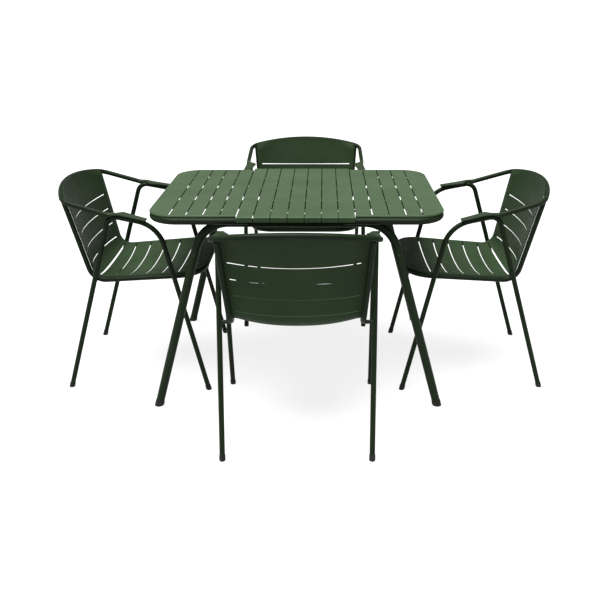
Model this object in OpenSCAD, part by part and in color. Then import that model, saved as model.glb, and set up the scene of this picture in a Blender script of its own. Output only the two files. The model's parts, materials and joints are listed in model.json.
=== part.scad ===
// Patio dining set: a slatted steel table on two tube leg frames, with four tube-and-sheet
// armchairs, one at each side. Sizes are in millimetres. The origin is on the floor, under the
// middle of the whole set. +X is to the right, +Y is towards the rear chair and +Z is up.

/* [Table] */
// Height of the table top above the floor
table_h = 750; // [700:5:780]
// Length of the table over its rim tube
table_l = 1088; // [1050:2:1200]
// Depth of the table over its rim tube
table_w = 801; // [780:1:900]
// Radius of the rim's corners, at the middle of the tube
table_corner = 105; // [80:5:140]
// Diameter of the rim tube
rim_tube = 25; // [20:1:30]
// Diameter of the leg frames' tube
leg_tube = 32; // [25:1:32]
// Wall thickness of every tube
tube_wall = 1.5; // [1:0.1:2]
// Thickness of the table's sheet metal
top_sheet = 2; // [1.5:0.5:3]
// Width of a slot in the table top
top_slot = 4; // [3:0.5:6]
// Distance from one slot of the table top to the next
slot_pitch = 61; // [56:1:64]
// How far the centre panel's aprons reach down
apron_h = 19; // [14:1:24]

/* [Table legs] */
// Distance from the middle of the table to a foot, along the table
foot_x = 540; // [500:5:560]
// Distance from the middle of the table to a foot, across the table
foot_y = 419; // [400:1:440]
// Outward lean of a leg, in millimetres for each millimetre of height
leg_lean = 0.2775; // [0.2:0.005:0.3]
// Radius of the bend at the top of a leg
leg_bend = 125; // [90:5:150]

/* [Chair tubes] */
// Diameter of the chairs' tube
chair_tube = 19; // [16:1:20]
// Height of the arm tube's middle line, halfway along the chair
arm_h = 709; // [680:1:730]
// Forward reach of the front feet from the middle of the chair
front_reach = 281; // [260:1:300]
// Backward reach of the rear feet from the middle of the chair
rear_reach = 280; // [260:1:300]
// Half the distance between the front feet
front_half_track = 281; // [270:1:290]
// Half the distance between the rear feet
rear_half_track = 257; // [250:1:270]
// Lean of a front leg, in millimetres for each millimetre of height
front_lean = 0.226; // [0.18:0.002:0.24]
// Lean of a rear leg, in millimetres for each millimetre of height
rear_lean = 0.31; // [0.28:0.002:0.32]
// Fall of the arm towards the front, in millimetres for each millimetre
arm_fall = 0.2; // [0.15:0.01:0.22]

/* [Chair seat and back] */
// Thickness of the seat's sheet metal
seat_sheet = 2; // [1.5:0.5:2.5]
// Width of a slot in the seat
seat_slot = 4.5; // [4:0.5:7]
// Depth of the dish in the middle of the seat
seat_dish = 25; // [15:1:30]

/* [Places of the chairs] */
// Distance from the middle of the table to the left chair
left_reach = 645; // [645:5:700]
// Distance from the middle of the table to the right chair
right_reach = 695; // [645:5:750]
// Distance from the middle of the table to the front chair
front_chair_reach = 523; // [523:1:600]
// Distance from the middle of the table to the rear chair
rear_chair_reach = 629; // [523:1:700]

/* [Hidden] */
$fn = 64;
// A tiny overlap for cuts, so that no cut ends flush with a face.
CUT = 1;

// The table stands off the origin, because its chairs stand at unequal distances.
TABLE_X = (left_reach - right_reach) / 2;
TABLE_Y = (front_chair_reach - rear_chair_reach) / 2;
// The chairs stand a little off the table's own middle lines.
AISLE_X = TABLE_X + 9;
AISLE_Y = TABLE_Y - 10;

// Every chair: its name, the place of its middle on the floor, and the way it faces.
CHAIRS = [
    ["front", [AISLE_X, TABLE_Y - front_chair_reach], 90],
    ["rear", [AISLE_X, TABLE_Y + rear_chair_reach], -90],
    ["left", [TABLE_X - left_reach, AISLE_Y], 0],
    ["right", [TABLE_X + right_reach, AISLE_Y], 180]
];
CHAIR_PARTS = [
    "left_frame", "right_frame", "top_rail", "left_arm", "right_arm",
    "seat_loop", "seat_shell", "links", "feet"
];
TABLE_PARTS = [
    "left_rim", "right_rim", "left_panel", "centre_panel", "right_panel",
    "front_bow", "rear_bow", "front_left_leg", "front_right_leg", "rear_left_leg",
    "rear_right_leg", "cross_bars", "side_bearers", "leg_screws", "table_feet"
];

GREEN = [0.29, 0.37, 0.27];
BLACK = [0.05, 0.05, 0.05];

// ---------------------------------------------------------------- bent tubes

function unit(v) = v / norm(v);
function turn_at(a, b, c) = acos(unit(b - a) * unit(c - b));
// How far a bend of radius r reaches back from the corner b.
function setback(a, b, c, r) = r * tan(turn_at(a, b, c) / 2);
function setbacks(points, radii) = [
    for (i = [0 : len(points) - 1])
        i == 0 || i == len(points) - 1 ? 0
            : setback(points[i - 1], points[i], points[i + 1], radii[i])
];
function mirror_v(p) = [p[0], -p[1], p[2]];
function reversed(list) = [for (i = [len(list) - 1 : -1 : 0]) list[i]];

// Places its children with their X, Y and Z axes along x, y and z, and their origin at o.
module on_axes(x, y, z, o) {
    multmatrix([
        [x[0], y[0], z[0], o[0]],
        [x[1], y[1], z[1], o[1]],
        [x[2], y[2], z[2], o[2]],
        [0, 0, 0, 1]
    ]) children();
}

module tube_section(outer, wall) {
    difference() {
        circle(d = outer);
        if (wall > 0) circle(d = outer - 2 * wall);
    }
}

module straight_tube(a, b, outer, wall) {
    z = unit(b - a);
    x = unit(cross(abs(z[2]) < 0.9 ? [0, 0, 1] : [1, 0, 0], z));
    on_axes(x, cross(z, x), z, a) linear_extrude(norm(b - a)) tube_section(outer, wall);
}

// A straight run is a hair thinner than the bends at its ends and reaches a hair into them, so
// that the pieces of one tube join in one solid.
JOIN_STEP = 0.05;
JOIN_REACH = 0.6;

// The bend at corner b of the line a-b-c, with radius r at the middle of the tube.
module tube_bend(a, b, c, r, outer, wall) {
    d1 = unit(b - a);
    d2 = unit(c - b);
    n = unit(d2 - d1 * (d1 * d2));
    start = b - d1 * setback(a, b, c, r);
    on_axes(-n, d1, cross(-n, d1), start + n * r)
        rotate_extrude(angle = turn_at(a, b, c)) translate([r, 0]) tube_section(outer, wall);
}

// A tube along the points, rounded at each inner point by that point's radius.
module bent_tube(points, radii, outer, wall = tube_wall) {
    last = len(points) - 1;
    back = setbacks(points, radii);
    for (i = [0 : last - 1]) {
        d = unit(points[i + 1] - points[i]);
        a = points[i] + d * (i == 0 ? 0 : back[i] - JOIN_REACH);
        b = points[i + 1] - d * (i == last - 1 ? 0 : back[i + 1] - JOIN_REACH);
        straight_tube(a, b, outer - 2 * JOIN_STEP, wall - 2 * JOIN_STEP);
    }
    for (i = [1 : last - 1])
        tube_bend(points[i - 1], points[i], points[i + 1], radii[i], outer, wall);
}

// A plastic cap on the end of a leg that runs from foot, on the floor, up towards top.
module foot_cap(foot, top, outer) {
    cap_wall = 1.3;
    cap_h = 20;
    floor_h = 6;
    z = unit(top - foot);
    x = unit(cross([0, 1, 0], z));
    intersection() {
        on_axes(x, cross(z, x), z, foot) difference() {
            translate([0, 0, -outer]) cylinder(d = outer + 2 * cap_wall, h = cap_h + outer);
            translate([0, 0, floor_h]) cylinder(d = outer + 0.1, h = cap_h);
        }
        translate([foot[0] - 3 * outer, foot[1] - 3 * outer, 0]) cube(6 * outer);
    }
}
// Where a leg's tube ends inside its cap.
function tube_end(foot, top) = foot + unit(top - foot) * 6.2;

// ---------------------------------------------------------------- table

RIM_Y = (table_w - rim_tube) / 2;
RIM_X = (table_l - rim_tube) / 2;
// A small shadow gap parts the sheets from the rim tube.
RIM_Z = table_h - 8 - rim_tube / 2;
// A bow lies beside the rim tubes and a little lower, and touches them along its weld.
BOW_DROP = 12;
WELD_DEPTH = 0.3;
BOW_REACH = (rim_tube + leg_tube) / 2 - WELD_DEPTH;
BOW_Y = RIM_Y - sqrt(BOW_REACH * BOW_REACH - BOW_DROP * BOW_DROP);
BOW_Z = RIM_Z - BOW_DROP;
// The centre panel reaches from the fifth slot to the twelfth.
CENTRE_X = 3.5 * slot_pitch;
CENTRE_Y = RIM_Y + 22;
SLOTS = 16;
BOW_CORNER_X = foot_x - leg_lean * BOW_Z;
// A bow's tube ends just below its bend, where its leg is plugged on.
JOINT_Z = BOW_Z - 0.8 * leg_bend;
// The bridges that tie the slats together, and the cross bars under them.
BRIDGES = [-165, 30, 220];
BRIDGE_W = 14;
BAR_W = 20;
BAR_H = 30;

function leg_x(z) = foot_x - leg_lean * z;
function leg_y(z) = foot_y + (BOW_Y - foot_y) * z / BOW_Z;
function slot_x(i) = (i - (SLOTS - 1) / 2) * slot_pitch;

module at_table() { translate([TABLE_X, TABLE_Y, 0]) children(); }

// One end of the rim: a U of tube around the left (side = -1) or right (side = 1) end.
module rim(side) {
    color(GREEN) at_table() {
        inner_x = side * (CENTRE_X - 40);
        points = [
            [inner_x, -RIM_Y, RIM_Z], [side * RIM_X, -RIM_Y, RIM_Z],
            [side * RIM_X, RIM_Y, RIM_Z], [inner_x, RIM_Y, RIM_Z]
        ];
        bent_tube(points, [0, table_corner, table_corner, 0], rim_tube);
    }
}

// A leg frame's top: a bow of tube behind the centre panel's apron.
module bow(side) {
    color(GREEN) at_table() {
        points = [
            [-leg_x(JOINT_Z), side * leg_y(JOINT_Z), JOINT_Z], [-BOW_CORNER_X, side * BOW_Y, BOW_Z],
            [BOW_CORNER_X, side * BOW_Y, BOW_Z], [leg_x(JOINT_Z), side * leg_y(JOINT_Z), JOINT_Z]
        ];
        bent_tube(points, [0, leg_bend, leg_bend, 0], leg_tube);
        // The ends are drawn down to plug into the legs.
        for (s = [-1, 1]) {
            end = [s * leg_x(JOINT_Z), side * leg_y(JOINT_Z), JOINT_Z];
            low = [s * leg_x(JOINT_Z - 50), side * leg_y(JOINT_Z - 50), JOINT_Z - 50];
            up = unit(end - low);
            bore = leg_tube - 2 * tube_wall;
            straight_tube(end, end + up * 12, bore + 0.4, 2.2);
            straight_tube(low, end + up * 2, bore - 0.2, 1.8);
        }
    }
}

module table_leg(side_x, side_y) {
    foot = [side_x * foot_x, side_y * foot_y, 0];
    top = [side_x * leg_x(JOINT_Z), side_y * leg_y(JOINT_Z), JOINT_Z];
    color(GREEN) at_table() straight_tube(tube_end(foot, top), top, leg_tube, tube_wall);
}

module leg_screws() {
    screw_z = JOINT_Z - 18;
    color(GREEN) at_table() for (sx = [-1, 1], sy = [-1, 1])
        translate([sx * leg_x(screw_z), sy * (leg_y(screw_z) + leg_tube / 2 - 0.6), screw_z])
            rotate([-90 * sy, 0, 0]) cylinder(d = 9, h = 2.6);
}

module table_feet() {
    color(BLACK) at_table() for (sx = [-1, 1], sy = [-1, 1])
        foot_cap([sx * foot_x, sy * foot_y, 0], [sx * BOW_CORNER_X, sy * BOW_Y, BOW_Z], leg_tube);
}

// The slots from bridge to bridge. reach is how far the slots run towards the edges.
module slots_between(x, reach) {
    ends = concat([-reach - BRIDGE_W / 2], BRIDGES, [reach + BRIDGE_W / 2]);
    for (k = [0 : len(ends) - 2])
        translate([x - top_slot / 2, ends[k] + BRIDGE_W / 2])
            square([top_slot, ends[k + 1] - ends[k] - BRIDGE_W]);
}

// An end panel lies on the rim. It covers the whole tube at the table's end, and half of it
// along the table's sides.
module end_panel(side) {
    sheet_x = RIM_X + rim_tube / 2 - 0.5;
    sheet_y = RIM_Y;
    inner = CENTRE_X + top_slot / 2;
    r = table_corner;
    color(GREEN) at_table() mirror([side < 0 ? 1 : 0, 0, 0]) {
        translate([0, 0, table_h - top_sheet]) linear_extrude(top_sheet) difference() {
            union() {
                translate([inner, -sheet_y]) square([sheet_x - r - inner, 2 * sheet_y]);
                translate([inner, -sheet_y + r]) square([sheet_x - inner, 2 * (sheet_y - r)]);
                for (sy = [-1, 1]) translate([sheet_x - r, sy * (sheet_y - r)]) circle(r);
            }
            for (i = [12 : SLOTS - 1]) slots_between(slot_x(i), sheet_y - 14);
        }
        // Its folded lip stands on the rim tube.
        lip = 2;
        inset = 5;
        lip_h = 9.3;
        translate([0, 0, table_h - lip_h]) linear_extrude(lip_h - top_sheet) {
            for (sy = [-1, 1]) translate([BOW_CORNER_X + 20, sy * (sheet_y - inset) - lip / 2])
                square([sheet_x - r - BOW_CORNER_X - 20, lip]);
            translate([RIM_X + inset - lip / 2, -sheet_y + r]) square([lip, 2 * (sheet_y - r)]);
        }
    }
}

// The centre panel's slots run over its edges and split its aprons into tabs.
module centre_panel() {
    half = CENTRE_X - top_slot / 2;
    color(GREEN) at_table() {
        translate([0, 0, table_h - top_sheet]) linear_extrude(top_sheet) difference() {
            translate([-half, -CENTRE_Y]) square([2 * half, 2 * CENTRE_Y]);
            for (i = [5 : 10]) slots_between(slot_x(i), CENTRE_Y + CUT);
        }
        for (sy = [-1, 1], i = [5 : 11]) {
            tab_w = slot_pitch - top_slot;
            tab_x = slot_x(i) - slot_pitch + top_slot / 2;
            translate([tab_x, sy * (CENTRE_Y - top_sheet / 2) - top_sheet / 2, table_h - apron_h])
                cube([tab_w, top_sheet, apron_h - top_sheet]);
        }
    }
}

// Rectangular tubes from rim to rim, under the bridges.
module cross_bars() {
    half_l = RIM_X - rim_tube / 2 + 1;
    color(GREEN) at_table() for (y = BRIDGES)
        translate([-half_l, y, table_h - top_sheet - BAR_H / 2]) rotate([90, 0, 90])
            linear_extrude(2 * half_l) difference() {
                square([BAR_W, BAR_H], center = true);
                square([BAR_W - 2 * tube_wall, BAR_H - 2 * tube_wall], center = true);
            }
}

// Square tubes between the bows and the cross bars, hidden under one slat on each side.
module side_bearers() {
    size = 20;
    bow_face = BOW_Y - leg_tube / 2 + 1.4;
    ends = concat([-bow_face - BAR_W / 2], BRIDGES, [bow_face + BAR_W / 2]);
    color(GREEN) at_table() for (sx = [-1, 1], k = [0 : len(ends) - 2])
        translate([sx * (CENTRE_X - slot_pitch / 2), ends[k] + BAR_W / 2, BOW_Z])
            rotate([-90, 0, 0]) linear_extrude(ends[k + 1] - ends[k] - BAR_W) difference() {
                square(size, center = true);
                square(size - 2 * tube_wall, center = true);
            }
}

// ---------------------------------------------------------------- chair
// A chair is modelled around its own middle, with u forward along X, v to its left along Y.

// The side frames stand in upright planes that open towards the front.
TOE = (front_half_track - rear_half_track) / (front_reach + rear_reach);
function frame_v(u) = rear_half_track + (u + rear_reach) * TOE;
function in_frame(u, w) = [u, frame_v(u), w];

FRONT_FOOT = in_frame(front_reach, 0);
REAR_FOOT = in_frame(-rear_reach, 0);
// The leg lines and the arm line meet at these corners.
REAR_CORNER_W = (arm_h + arm_fall * rear_reach) / (1 + arm_fall * rear_lean);
FRONT_CORNER_W = (arm_h - arm_fall * front_reach) / (1 - arm_fall * front_lean);
REAR_CORNER = in_frame(-rear_reach + rear_lean * REAR_CORNER_W, REAR_CORNER_W);
FRONT_CORNER = in_frame(front_reach - front_lean * FRONT_CORNER_W, FRONT_CORNER_W);
FRONT_BEND = 120;
REAR_BEND = 40;

// The armrest plate lies on the arm tube, sunk a little into it by its weld.
ARM_SHEET = 8;
ARM_SINK = 0.8;
ARM_TILT = atan(arm_fall);
ARM_BACK = -62;
ARM_MID = arm_h + (chair_tube / 2 - ARM_SINK + ARM_SHEET / 2) / cos(ARM_TILT);

// The top rail runs from one arm, around the back, to the other arm.
RAIL_END = [ARM_BACK + 10, frame_v(0) + 7, ARM_MID - arm_fall * (ARM_BACK + 10) - 10];
RAIL_CORNER = [-220, 270, 772];
RAIL_MIDDLE = [-328, 0, 824];
RAIL_CORNER_BEND = 55;
RAIL_BACK_BEND = 585;
// The way the rail's bent middle falls forward, and the middle of its bend, as [u, w].
RAIL_DROP = unit([RAIL_CORNER[0] - RAIL_MIDDLE[0], RAIL_CORNER[2] - RAIL_MIDDLE[2]]);
RAIL_CREST = [RAIL_MIDDLE[0], RAIL_MIDDLE[2]]
    + RAIL_DROP * RAIL_BACK_BEND * (norm(RAIL_CORNER - RAIL_MIDDLE) / RAIL_CORNER[1] - 1);
function rail_at(v) =
    RAIL_CREST + RAIL_DROP * (RAIL_BACK_BEND - sqrt(pow(RAIL_BACK_BEND, 2) - v * v));

// The seat loop runs down from the rail, along a side of the seat and across its front.
LOOP_TOP = [-223, 248, 766];
LOOP_HEEL = [-153, 223, 447];
LOOP_FRONT = [275, 242, 478];
HEEL_BEND = 60;
LOOP_BEND = 95;

module at_chair(c) { translate([c[1][0], c[1][1], 0]) rotate([0, 0, c[2]]) children(); }

module side_frame(side) {
    points = [
        tube_end(REAR_FOOT, REAR_CORNER), REAR_CORNER, FRONT_CORNER,
        tube_end(FRONT_FOOT, FRONT_CORNER)
    ];
    color(GREEN) mirror([0, side > 0 ? 0 : 1, 0])
        bent_tube(points, [0, REAR_BEND, FRONT_BEND, 0], chair_tube);
}

module top_rail() {
    points = [RAIL_END, RAIL_CORNER, RAIL_MIDDLE, mirror_v(RAIL_CORNER), mirror_v(RAIL_END)];
    radii = [0, RAIL_CORNER_BEND, RAIL_BACK_BEND, RAIL_CORNER_BEND, 0];
    color(GREEN) bent_tube(points, radii, chair_tube);
}

// The armrest is a paddle with a blunt front end and a narrow tail. It is widest just in front
// of its tail, where its inner edge steps out.
module arm_outline() {
    tail = 4;
    step_u = -22;
    hull() for (u = [ARM_BACK + tail, step_u]) {
        translate([u, 14]) circle(tail);
        translate([u, 3]) circle(tail);
    }
    hull() {
        translate([step_u, 13]) circle(tail);
        translate([step_u, 1]) circle(tail);
        translate([-4, -25]) circle(8);
        translate([79, -8]) circle(6);
        translate([79, 12]) circle(6);
    }
}

module armrest(side) {
    color(GREEN) mirror([0, side > 0 ? 0 : 1, 0])
        translate([0, frame_v(0), ARM_MID]) rotate([0, 0, atan(TOE)]) rotate([0, ARM_TILT, 0])
            translate([0, 0, -ARM_SHEET / 2]) linear_extrude(ARM_SHEET) arm_outline();
}

module seat_loop() {
    half = [LOOP_TOP, LOOP_HEEL, LOOP_FRONT];
    points = concat(half, reversed([for (p = half) mirror_v(p)]));
    radii = [0, HEEL_BEND, LOOP_BEND, LOOP_BEND, HEEL_BEND, 0];
    color(GREEN) bent_tube(points, radii, chair_tube);
}

// Short cross links weld the seat loop to the legs, where the two pass each other.
LINK_D = 14;
FRONT_LINK_U = 174;
REAR_LINK_W = 456;
function loop_w(u) = LOOP_HEEL[2]
    + (LOOP_FRONT[2] - LOOP_HEEL[2]) * (u - LOOP_HEEL[0]) / (LOOP_FRONT[0] - LOOP_HEEL[0]);

module links() {
    front_w = loop_w(FRONT_LINK_U);
    rear_u = -rear_reach + rear_lean * REAR_LINK_W;
    reach = chair_tube / 2 - 2;
    color(GREEN) for (s = [-1, 1]) {
        straight_tube([FRONT_LINK_U, s * (236 + reach), front_w],
            [FRONT_LINK_U, s * (frame_v(FRONT_LINK_U) - reach), front_w], LINK_D, 0);
        straight_tube([rear_u, s * (223 + reach), REAR_LINK_W],
            [rear_u, s * (frame_v(rear_u) - reach), REAR_LINK_W], LINK_D, 0);
    }
}

module chair_feet() {
    color(BLACK) for (s = [-1, 1]) mirror([0, s > 0 ? 0 : 1, 0]) {
        foot_cap(FRONT_FOOT, FRONT_CORNER, chair_tube);
        foot_cap(REAR_FOOT, REAR_CORNER, chair_tube);
    }
}

// The seat and back are one bent sheet. A station s runs along its side edge: down the back,
// round the heel, along the seat and round the front corner. The sheet lies just clear of the
// loop's tube, and bows out and down between its two sides.
SHEET_GAP = chair_tube / 2 + seat_sheet / 2 + 0.3;
BACK_DIR = unit([LOOP_HEEL[0] - LOOP_TOP[0], LOOP_HEEL[2] - LOOP_TOP[2]]);
SEAT_DIR = unit([LOOP_FRONT[0] - LOOP_HEEL[0], LOOP_FRONT[2] - LOOP_HEEL[2]]);
HEEL_TURN = acos(BACK_DIR * SEAT_DIR);
HEEL_R = HEEL_BEND - SHEET_GAP;
// The two offset lines meet at this inner corner.
function left_of(d) = [-d[1], d[0]];
INNER_HEEL = [LOOP_HEEL[0], LOOP_HEEL[2]]
    + unit(left_of(BACK_DIR) + left_of(SEAT_DIR)) * SHEET_GAP / cos(HEEL_TURN / 2);
HEEL_START = INNER_HEEL - BACK_DIR * HEEL_R * tan(HEEL_TURN / 2);
HEEL_END = INNER_HEEL + SEAT_DIR * HEEL_R * tan(HEEL_TURN / 2);
HEEL_CENTRE = HEEL_START + left_of(BACK_DIR) * HEEL_R;
SHEET_TOP_W = 776;
BACK_LEN = (HEEL_START[1] - SHEET_TOP_W) / BACK_DIR[1];
HEEL_LEN = HEEL_R * HEEL_TURN * PI / 180;
// The front corner starts where the loop's own corner does.
CORNER_U = LOOP_FRONT[0] - LOOP_BEND;
SEAT_LEN = (CORNER_U - HEEL_END[0]) / SEAT_DIR[0];
CORNER_LEN = LOOP_BEND * PI / 2;
S_SLOT = 91.5;
S_HEEL = BACK_LEN;
S_SEAT = S_HEEL + HEEL_LEN;
S_CORNER = S_SEAT + SEAT_LEN;
S_LIP = S_CORNER + CORNER_LEN;
LIP_LEN = SHEET_GAP * PI / 2;

function rotated(d, a) = [d[0] * cos(a) - d[1] * sin(a), d[0] * sin(a) + d[1] * cos(a)];
function corner_angle(s) = min(90, max(0, (s - S_CORNER) / CORNER_LEN * 90));
function lip_angle(s) = max(0, (s - S_LIP) / LIP_LEN * 90);

// The direction of travel along the side edge, as [u, w].
function travel(s) =
    s < S_HEEL ? BACK_DIR
    : s < S_SEAT ? rotated(BACK_DIR, (s - S_HEEL) / HEEL_LEN * HEEL_TURN)
    : rotated(SEAT_DIR, -lip_angle(s));

// The side edge's place, as [u, w].
function edge(s) =
    s < S_HEEL ? HEEL_START - BACK_DIR * (S_HEEL - s)
    : s < S_SEAT ? HEEL_CENTRE - left_of(travel(s)) * HEEL_R
    : s < S_CORNER ? HEEL_END + SEAT_DIR * (s - S_SEAT)
    : HEEL_END + SEAT_DIR * (SEAT_LEN + LOOP_BEND * sin(corner_angle(s)))
        + (left_of(travel(s)) - left_of(SEAT_DIR)) * SHEET_GAP;

// Half the sheet's width.
function half_width(s) =
    lookup(s, [[0, 247], [S_HEEL, 224], [S_SEAT, 226], [S_CORNER, 238]])
        - LOOP_BEND * (1 - cos(corner_angle(s)));
// How far the sheet's middle bows out from its edges, and how square its cross-section is.
function bow_out(s) = lookup(s, [
    [S_SLOT, 38], [S_SLOT + 126, 31], [S_HEEL, 32], [S_SEAT, seat_dish], [S_CORNER - 60, 18],
    [S_CORNER + 0.6 * CORNER_LEN, 0]
]);
function squareness(s) = lookup(s, [[S_SLOT, 2.1], [S_HEEL, 2.3], [S_LIP, 2.2]]);

// The sheet is flat where it lies along the tube, outside this part of its half width.
FLAT_FROM = 0.92;

// Its top passes in front of the rail, follows it, and covers it to a little above its middle.
RAIL_COVER = 6;
BACK_FRONT = left_of(BACK_DIR);
RAIL_TILT = RAIL_DROP * BACK_FRONT / RAIL_BACK_BEND;
function top_line(v) =
    rail_at(v) + BACK_FRONT * SHEET_GAP / sqrt(1 - pow(RAIL_TILT * v, 2)) - BACK_DIR * RAIL_COVER;
// How much of the rail's line the sheet still follows, from its top down to its first slot.
function top_share(s) = lookup(s, [[0, 1], [20, 0.95], [45, 0.6], [70, 0.2], [S_SLOT - 3, 0]]);

// A point of the sheet at station s and at t of the half width, moved off along the normal.
function sheet_point(s, t, off) =
    let (
        d = travel(s),
        n = left_of(d),
        x = min(1, abs(t) / FLAT_FROM),
        share = top_share(s),
        // Below its top corners the sheet comes forward, in front of the loop's tube.
        corner = pow(x, 10) * min(1, s / 15),
        rise = (edge(0) - top_line(t * half_width(0))) * share * (1 - corner),
        bow = bow_out(s) * (1 - share) * (1 - pow(x, squareness(s))) + rise * n,
        p = edge(s) - n * (bow - off) - d * (rise * d)
    )
    [p[0], t * half_width(s), p[1]];

// The slots: four in the back, one in the heel and five in the seat.
SHEET_SLOTS = concat(
    [for (i = [0 : 3]) S_SLOT + 63 * i],
    [S_HEEL + 0.62 * HEEL_LEN],
    [for (i = [0 : 4]) S_SEAT + 22 + 65 * i]
);
HEEL_SLOT = 4;
HALF_SLOT = seat_slot / 2;
FIRST = SHEET_SLOTS[0] - HALF_SLOT;
LAST = SHEET_SLOTS[len(SHEET_SLOTS) - 1] + HALF_SLOT;
// Stations: rows above the first slot, both edges of each slot with rows between, then the front.
STATIONS = concat(
    [for (i = [0 : 3]) FIRST * i / 4],
    [for (i = [0 : len(SHEET_SLOTS) - 2])
        let (
            a = SHEET_SLOTS[i] + HALF_SLOT,
            b = SHEET_SLOTS[i + 1] - HALF_SLOT,
            rows = abs(i + 0.5 - HEEL_SLOT) < 1 ? 3 : 2
        )
        each concat([a - seat_slot], [for (k = [0 : rows - 1]) a + (b - a) * k / rows])],
    [LAST - seat_slot, LAST],
    [for (i = [1 : 4]) LAST + (S_LIP - LAST) * i / 4],
    [for (i = [1 : 4]) S_LIP + LIP_LEN * i / 4]
);
// Columns across the sheet. A slot ends one column short of each edge.
COLUMNS = concat([-1], [for (i = [-5 : 5]) FLAT_FROM * i / 5], [1]);

function is_slot(row, column) =
    column > 0 && column < len(COLUMNS) - 2
    && len([for (s = SHEET_SLOTS) if (abs(STATIONS[row] - (s - HALF_SLOT)) < 0.01) s]) > 0;

module seat_shell() {
    rows = len(STATIONS);
    cols = len(COLUMNS);
    layer = rows * cols;
    points = [
        for (off = [seat_sheet / 2, -seat_sheet / 2], s = STATIONS, t = COLUMNS)
            sheet_point(s, t, off)
    ];
    solid = [for (i = [0 : rows - 2]) [for (j = [0 : cols - 2]) !is_slot(i, j)]];
    function filled(i, j) = i >= 0 && j >= 0 && i < rows - 1 && j < cols - 1 && solid[i][j];
    function at(i, j, low) = i * cols + j + (low ? layer : 0);
    // Two triangles, seen clockwise from outside, and the wall below one side of a cell.
    function quad(a, b, c, d) = [[a, b, c], [a, c, d]];
    function wall(i, j, k, l) = quad(at(i, j, false), at(i, j, true), at(k, l, true), at(k, l, false));
    faces = [
        for (i = [0 : rows - 2], j = [0 : cols - 2]) if (solid[i][j])
            let (
                top = quad(at(i, j, false), at(i, j + 1, false), at(i + 1, j + 1, false),
                    at(i + 1, j, false)),
                bottom = quad(at(i, j, true), at(i + 1, j, true), at(i + 1, j + 1, true),
                    at(i, j + 1, true))
            )
            each concat(
                top, bottom,
                filled(i - 1, j) ? [] : wall(i, j, i, j + 1),
                filled(i + 1, j) ? [] : wall(i + 1, j + 1, i + 1, j),
                filled(i, j - 1) ? [] : wall(i + 1, j, i, j),
                filled(i, j + 1) ? [] : wall(i, j + 1, i + 1, j + 1)
            )
    ];
    color(GREEN) polyhedron(points, faces);
}

// ---------------------------------------------------------------- nodes

rim(-1);  // left_rim
rim(1);  // right_rim
end_panel(-1);  // left_panel
centre_panel();
end_panel(1);  // right_panel
bow(-1);  // front_bow
bow(1);  // rear_bow
table_leg(-1, -1);  // front_left_leg
table_leg(1, -1);  // front_right_leg
table_leg(-1, 1);  // rear_left_leg
table_leg(1, 1);  // rear_right_leg
cross_bars();
side_bearers();
leg_screws();
table_feet();

for (c = CHAIRS) {
    at_chair(c) side_frame(1);
    at_chair(c) side_frame(-1);
    at_chair(c) top_rail();
    at_chair(c) armrest(1);
    at_chair(c) armrest(-1);
    at_chair(c) seat_loop();
    at_chair(c) seat_shell();
    at_chair(c) links();
    at_chair(c) chair_feet();
}
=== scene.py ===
# Looks of the patio dining set: a slatted steel table and four armchairs, all in green powder coat.
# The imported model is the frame. Tubes, bars and links are its own nodes with a finished material.
# Sheets, armrests, foot caps and screws are modelled again here, in metres, where the nodes are.
import bisect
import json
import math

import bmesh
import bpy
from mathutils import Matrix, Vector


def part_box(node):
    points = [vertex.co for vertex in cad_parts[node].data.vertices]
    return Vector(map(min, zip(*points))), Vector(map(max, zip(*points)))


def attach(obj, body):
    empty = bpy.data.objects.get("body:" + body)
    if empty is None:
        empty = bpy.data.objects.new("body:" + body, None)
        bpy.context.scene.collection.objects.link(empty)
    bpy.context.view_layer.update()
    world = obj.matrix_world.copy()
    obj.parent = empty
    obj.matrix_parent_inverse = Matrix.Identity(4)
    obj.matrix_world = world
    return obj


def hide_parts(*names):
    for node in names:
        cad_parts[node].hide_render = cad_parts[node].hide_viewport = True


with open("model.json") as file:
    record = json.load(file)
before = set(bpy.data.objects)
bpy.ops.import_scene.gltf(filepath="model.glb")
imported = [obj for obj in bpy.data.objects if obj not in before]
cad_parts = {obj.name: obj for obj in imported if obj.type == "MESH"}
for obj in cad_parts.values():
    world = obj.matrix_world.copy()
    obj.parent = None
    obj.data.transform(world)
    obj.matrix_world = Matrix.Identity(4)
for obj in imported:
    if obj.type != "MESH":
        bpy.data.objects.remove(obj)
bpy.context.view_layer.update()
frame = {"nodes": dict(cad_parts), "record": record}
MM = 0.001


# ------------------------------------------------------------------ helpers

def unit2(a, b):
    length = math.hypot(a, b)
    return (a / length, b / length)


def smooth_lookup(value, table):
    """The table's value at a place, on a curve that passes through each row without a kink."""
    keys = [row[0] for row in table]
    if value <= keys[0]:
        return table[0][1]
    if value >= keys[-1]:
        return table[-1][1]
    i = bisect.bisect_right(keys, value) - 1

    def slope(k):
        if k in (0, len(table) - 1):
            return 0.0
        before, after = table[k - 1], table[k + 1]
        return (after[1] - before[1]) / (after[0] - before[0])

    (x0, y0), (x1, y1) = table[i], table[i + 1]
    span = x1 - x0
    x = (value - x0) / span
    return ((1 + 2 * x) * (1 - x) ** 2 * y0 + x * (1 - x) ** 2 * span * slope(i)
            + x * x * (3 - 2 * x) * y1 + x * x * (x - 1) * span * slope(i + 1))


def between(low, high, count):
    """count values evenly from low up to, and not with, high."""
    return [low + (high - low) * i / count for i in range(count)]


def angles(count):
    """count directions evenly around a circle."""
    return [2 * math.pi * step / count for step in range(count)]


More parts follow.
